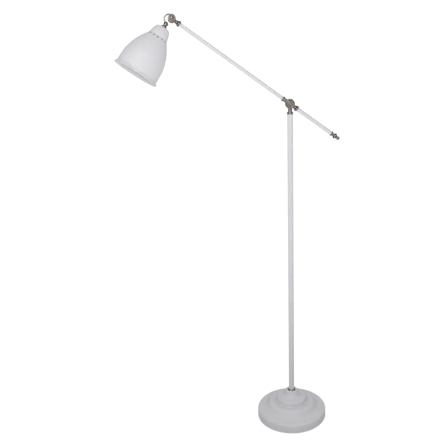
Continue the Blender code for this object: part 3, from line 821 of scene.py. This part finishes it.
def bell_outline():
    """The bell's sheet, from its top flange down to the rolled lip and back up inside."""
    side, lip = SHADE_RADIUS, RIM_RADIUS
    outer = [(24.0, CAP_EDGE - 0.3), (31.2, CAP_EDGE - 0.3)]
    outer += bend((31.6, CAP_EDGE - 0.9), (side, 86.0), (side, 30.0), 36)
    outer += [(side + 0.05, 20.0)]
    outer += bend((side + 0.1, 14.0), (side + 0.3, 10.0), (side + 1.5, 8.2), 8)
    outer += bend((side + 2.1, 7.6), (lip - 0.9, 6.2), (lip - 0.4, 4.6), 6)
    outer += arc((lip - 1.2, 3.0), 1.2, 40, -130, 12)
    inner = bend((lip - 2.5, 3.4), (side + 1.2, 6.2), (side - 0.4, 8.6), 6)
    inner += bend((side - 0.6, 9.2), (side - 1.0, 11.0), (side - 1.0, 15.0), 6)
    inner += bend((side - 1.0, 30.0), (side - 1.0, 85.6), (31.0, CAP_EDGE - 2.4), 36)
    return outer + inner + [(24.0, CAP_EDGE - 1.4)]


def vent_cutters():
    """The ring of round vents just under the cap."""
    shape = bmesh.new()
    for i in range(VENT_COUNT):
        made = bmesh.ops.create_cone(shape, cap_ends=True, segments=28, depth=9.0 * MM,
                                     radius1=VENT_RADIUS * MM, radius2=VENT_RADIUS * MM)
        lean = Matrix.Rotation(math.pi / 2 - VENT_SLOPE, 4, "Y")
        out = Matrix.Translation(Vector((VENT_REACH, 0.0, VENT_LEVEL)) * MM)
        round_axis = Matrix.Rotation(2 * math.pi * (i + 0.5) / VENT_COUNT, 4, "Z")
        bmesh.ops.transform(shape, verts=made["verts"], matrix=round_axis @ out @ lean)
    return as_object("vent_cutters", shape)


def make_shade():
    """Bell with its vents, cap and the turned collar above it."""
    bell = lathe("shade_bell_shown", eased(bell_outline(), 0.3), FINE)
    combine(bell, vent_cutters(), "DIFFERENCE")
    put(bell, SHADE_FRAME, "shade", "white_enamel", "shade_bell")

    cap = [(4.3, CAP_TOP), (8.0, CAP_TOP)]
    cap += bend((9.0, CAP_TOP), (13.5, CAP_TOP - 0.8), (17.0, CAP_TOP - 1.6), 6)
    cap += bend((17.0, CAP_TOP - 1.6), (21.8, CAP_TOP - 3.2), (23.6, 165.0), 12)[1:]
    cap += bend((23.6, 165.0), (29.5, 152.0), (31.4, CAP_EDGE + 0.8), 20)[1:]
    cap += [(31.4, CAP_EDGE), (30.2, CAP_EDGE)]
    cap += bend((30.0, CAP_EDGE + 2.0), (28.2, 151.6), (22.4, 164.4), 16)
    cap += bend((22.4, 164.4), (20.4, 168.0), (16.6, CAP_TOP - 2.9), 8)[1:]
    cap += [(9.0, CAP_TOP - 1.2), (4.3, CAP_TOP - 1.2)]
    turned_piece("shade_cap", cap, FINE, SHADE_FRAME, "shade", "white_enamel", 0.3)

    collar = [(7.2, 184.9)]
    collar += bend((6.8, 184.6), (4.8, 181.2), (6.6, 178.2), 10)
    collar += bend((7.0, 177.8), (9.5, 176.0), (8.2, 174.0), 8)
    collar += [(8.0, CAP_TOP + GAP), (4.3, CAP_TOP + GAP), (4.3, 184.9)]
    turned_piece("neck_collar", collar, SMALL, SHADE_FRAME, "shade", "satin_nickel", 0.25)


def thread(pitch, depth, low, high, least):
    """A wobble that cuts a helical thread into radii above least, between two heights."""
    def cut(radius, height, angle):
        if radius < least or not low < height < high:
            return radius
        phase = 2 * math.pi * height / pitch - angle
        return radius - depth * (0.5 - 0.5 * math.cos(phase))
    return cut


def make_lampholder():
    """Two-part screw lampholder with its shell, and an opal bulb in it."""
    cap = [(4.2, 166.8), (9.0, 166.8)]
    cap += bend((11.0, 166.2), (19.0, 165.0), (20.0, 152.0), 14)
    cap += [(20.0, 146.3), (17.6, 146.3), (17.6, 158.4), (4.2, 158.4)]
    turned_piece("lampholder_cap", cap, MEDIUM, SHADE_FRAME, "shade", "lampholder_white", 0.4)

    def grip(radius, height, angle):
        """Shallow flutes round the lower half, for fingers."""
        if radius > 18.0 and 117.0 < height < 143.5:
            return radius - 0.35 * (0.5 - 0.5 * math.cos(HOLDER_FLUTES * angle)) ** 2
        return radius

    body = [(17.3, 155.0), (17.3, 146.0), (19.6, 146.0)]
    body += [(19.6 - 0.6 * i / 10, 145.0 - 3.0 * i) for i in range(11)]
    body += [(19.0, 114.0), (15.6, 114.0), (15.6, 143.0), (3.0, 143.0), (3.0, 155.0)]
    turned_piece("lampholder_body", body, FLUTED, SHADE_FRAME, "shade", "lampholder_white", 0.4,
                 grip)

    shell = [(15.2, 142.6), (15.2, 118.0), (14.0, 118.0), (14.0, 141.6), (6.0, 141.6), (6.0, 142.6)]
    turned_piece("lampholder_screw_shell", shell, MEDIUM, SHADE_FRAME, "shade", "plated_brass",
                 0.2)

    foot = [(0.0, 140.0), (3.4, 140.0)]
    foot += bend((4.4, 139.9), (5.4, 138.9), (6.4, 138.2), 5)
    foot += [(12.6, 134.8)]
    foot += [(13.3, 133.4 - 0.4 * i) for i in range(46)]
    foot += [(13.3, 113.0), (0.0, 113.0)]
    turned_piece("bulb_cap", foot, MEDIUM, SHADE_FRAME, "shade", "bulb_aluminium", 0.3,
                 thread(3.6, 0.8, 114.5, 133.5, 12.9))

    globe = [(13.0, 112.6), (13.3, 110.0)]
    globe += bend((13.5, 109.0), (29.6, 86.0), (30.0, 68.0), 20)
    globe += arc((0.0, 68.0), 30.0, -4, -90, 24)[:-1] + [(0.0, 38.0)]
    inside = [(0.0, 39.4)] + arc((0.0, 68.0), 28.6, -90, -4, 20)[1:]
    inside += bend((28.6, 68.0), (28.0, 87.0), (13.6, 99.6), 16) + [(11.6, 112.6)]
    bulb = lathe("bulb_globe_shown", without_repeats(globe + inside), MEDIUM)
    put(bulb, SHADE_FRAME, "shade", "opal_glass", "bulb_globe")


# ---------------------------------------------------------------- hidden CAD pieces

CARRIED = {"base_weight": "cast_iron", "base_nut": "zinc_steel", "base_washer": "zinc_steel",
           "base_nipple": "zinc_steel", "pole_plug": "zinc_steel", "pole_lead": "lead_sleeve",
           "arm_lead": "lead_sleeve", "neck_nipple": "zinc_steel", "neck_nut": "zinc_steel",
           "lampholder_contact": "plated_brass"}


def dress_carried_nodes():
    """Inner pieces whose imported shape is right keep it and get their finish."""
    for node, finish in CARRIED.items():
        obj = frame["nodes"][node]
        obj.data.materials.clear()
        obj.data.materials.append(finishes[finish])


# ---------------------------------------------------------------- studio

def make_floor():
    """A pale floor round the lamp that fades into the white backdrop."""
    shape = bmesh.new()
    bmesh.ops.create_circle(shape, cap_ends=True, segments=96, radius=1.6)
    floor = as_object("floor", shape)
    material = bpy.data.materials.new("pale_floor")
    material.use_nodes = True
    tree = material.node_tree
    tree.nodes.remove(tree.nodes["Principled BSDF"])
    place = add(tree, "TexCoord").outputs["Object"]
    distance = add(tree, "VectorMath", {0: place}, operation="LENGTH").outputs["Value"]
    fade = add(tree, "MapRange", {"Value": distance, "From Min": 0.35, "From Max": 1.1},
               interpolation_type="SMOOTHSTEP").outputs["Result"]
    dull = add(tree, "BsdfDiffuse", {"Color": (0.30, 0.30, 0.30, 1.0)}).outputs["BSDF"]
    glow = add(tree, "Emission", {"Color": (1.0, 1.0, 1.0, 1.0), "Strength": 0.84})
    white = add(tree, "AddShader", {0: dull, 1: glow.outputs["Emission"]}).outputs["Shader"]
    paper = add(tree, "BsdfDiffuse", {"Color": (0.60, 0.60, 0.60, 1.0)}).outputs["BSDF"]
    seen = add(tree, "LightPath").outputs["Is Camera Ray"]
    lit = add(tree, "MixShader", {"Fac": seen, 1: paper, 2: white}).outputs["Shader"]
    clear = add(tree, "BsdfTransparent").outputs["BSDF"]
    final = add(tree, "MixShader", {"Fac": fade, 1: lit, 2: clear}).outputs["Shader"]
    tree.links.new(final, tree.nodes["Material Output"].inputs["Surface"])
    floor.data.materials.append(material)


def make_world():
    """White behind the lamp, a soft surround that lights it, and another for reflections.

    The soft surround is brightest from below, as from a white floor. Reflections see a bright
    front, dark sides and a dim back, which gives the polished metal its contrast.
    """
    world = bpy.data.worlds.new("studio")
    world.use_nodes = True
    bpy.context.scene.world = world
    tree = world.node_tree
    tree.nodes.clear()
    direction = add(tree, "TexCoord").outputs["Generated"]
    axes = add(tree, "SeparateXYZ", {0: direction}).outputs
    level = remap(tree, axes["Z"], 0.0, 1.0, -1.0, 1.0)
    tone = ramp(tree, level, [(0.35, (1.0, 1.0, 1.0)), (0.45, (0.46, 0.46, 0.46)),
                              (0.80, (0.46, 0.46, 0.46)), (0.90, (0.54, 0.54, 0.54))])
    lighting = add(tree, "Background", {"Color": tone, "Strength": 1.2}).outputs["Background"]
    depth = remap(tree, axes["Y"], 0.0, 1.0, -1.0, 1.0)
    shine = ramp(tree, depth, [(0.0, (0.80, 0.80, 0.80)), (0.2, (0.50, 0.50, 0.50)),
                               (0.35, (0.10, 0.10, 0.10)), (0.5, (0.02, 0.02, 0.02)),
                               (0.7, (0.14, 0.14, 0.14)), (1.0, (0.30, 0.30, 0.30))])
    mirrored = add(tree, "Background", {"Color": shine, "Strength": 1.0}).outputs["Background"]
    backdrop = add(tree, "Background", {"Color": (1.0, 1.0, 1.0, 1.0), "Strength": 1.05})
    rays = add(tree, "LightPath").outputs
    around = add(tree, "MixShader", {"Fac": rays["Is Glossy Ray"], 1: lighting, 2: mirrored})
    final = add(tree, "MixShader", {"Fac": rays["Is Camera Ray"], 1: around.outputs["Shader"],
                                    2: backdrop.outputs["Background"]})
    output = tree.nodes.new("ShaderNodeOutputWorld")
    tree.links.new(final.outputs["Shader"], output.inputs["Surface"])


def soft_light(name, place, target, size, energy):
    data = bpy.data.lights.new(name, "AREA")
    data.shape = "SQUARE"
    data.size = size
    data.energy = energy
    lamp = bpy.data.objects.new(name, data)
    bpy.context.scene.collection.objects.link(lamp)
    aim = (Vector(target) - Vector(place)).to_track_quat("-Z", "Y")
    lamp.matrix_world = Matrix.Translation(place) @ aim.to_matrix().to_4x4()
    lamp.visible_camera = False


def make_studio():
    make_floor()
    make_world()
    soft_light("key_light", (-0.9, -2.0, 2.5), (-0.3, 0.0, 1.2), 1.3, 10.0)
    soft_light("front_light", (-0.4, -2.6, 1.7), (-0.3, 0.0, 1.2), 1.6, 5.1)
    soft_light("fill_light", (1.9, -1.4, 1.8), (0.0, 0.0, 1.0), 1.2, 1.4)
    soft_light("head_light", (-0.8, -1.3, 1.9), (-0.4, 0.0, 1.3), 0.7, 1.6)
    bpy.context.scene.view_settings.view_transform = "Standard"


make_camera()
finishes = make_finishes()
make_base()
make_pole()
make_pole_knuckle()
make_arm()
make_bow()
make_shade()
make_lampholder()
make_hinge("arm_hinge", POLE_DISC, POLE_BOLT, "base", "arm_knob")
make_hinge("shade_hinge", SHADE_DISC, TIP_BOLT, "arm", "shade_knob")
dress_carried_nodes()
make_studio()
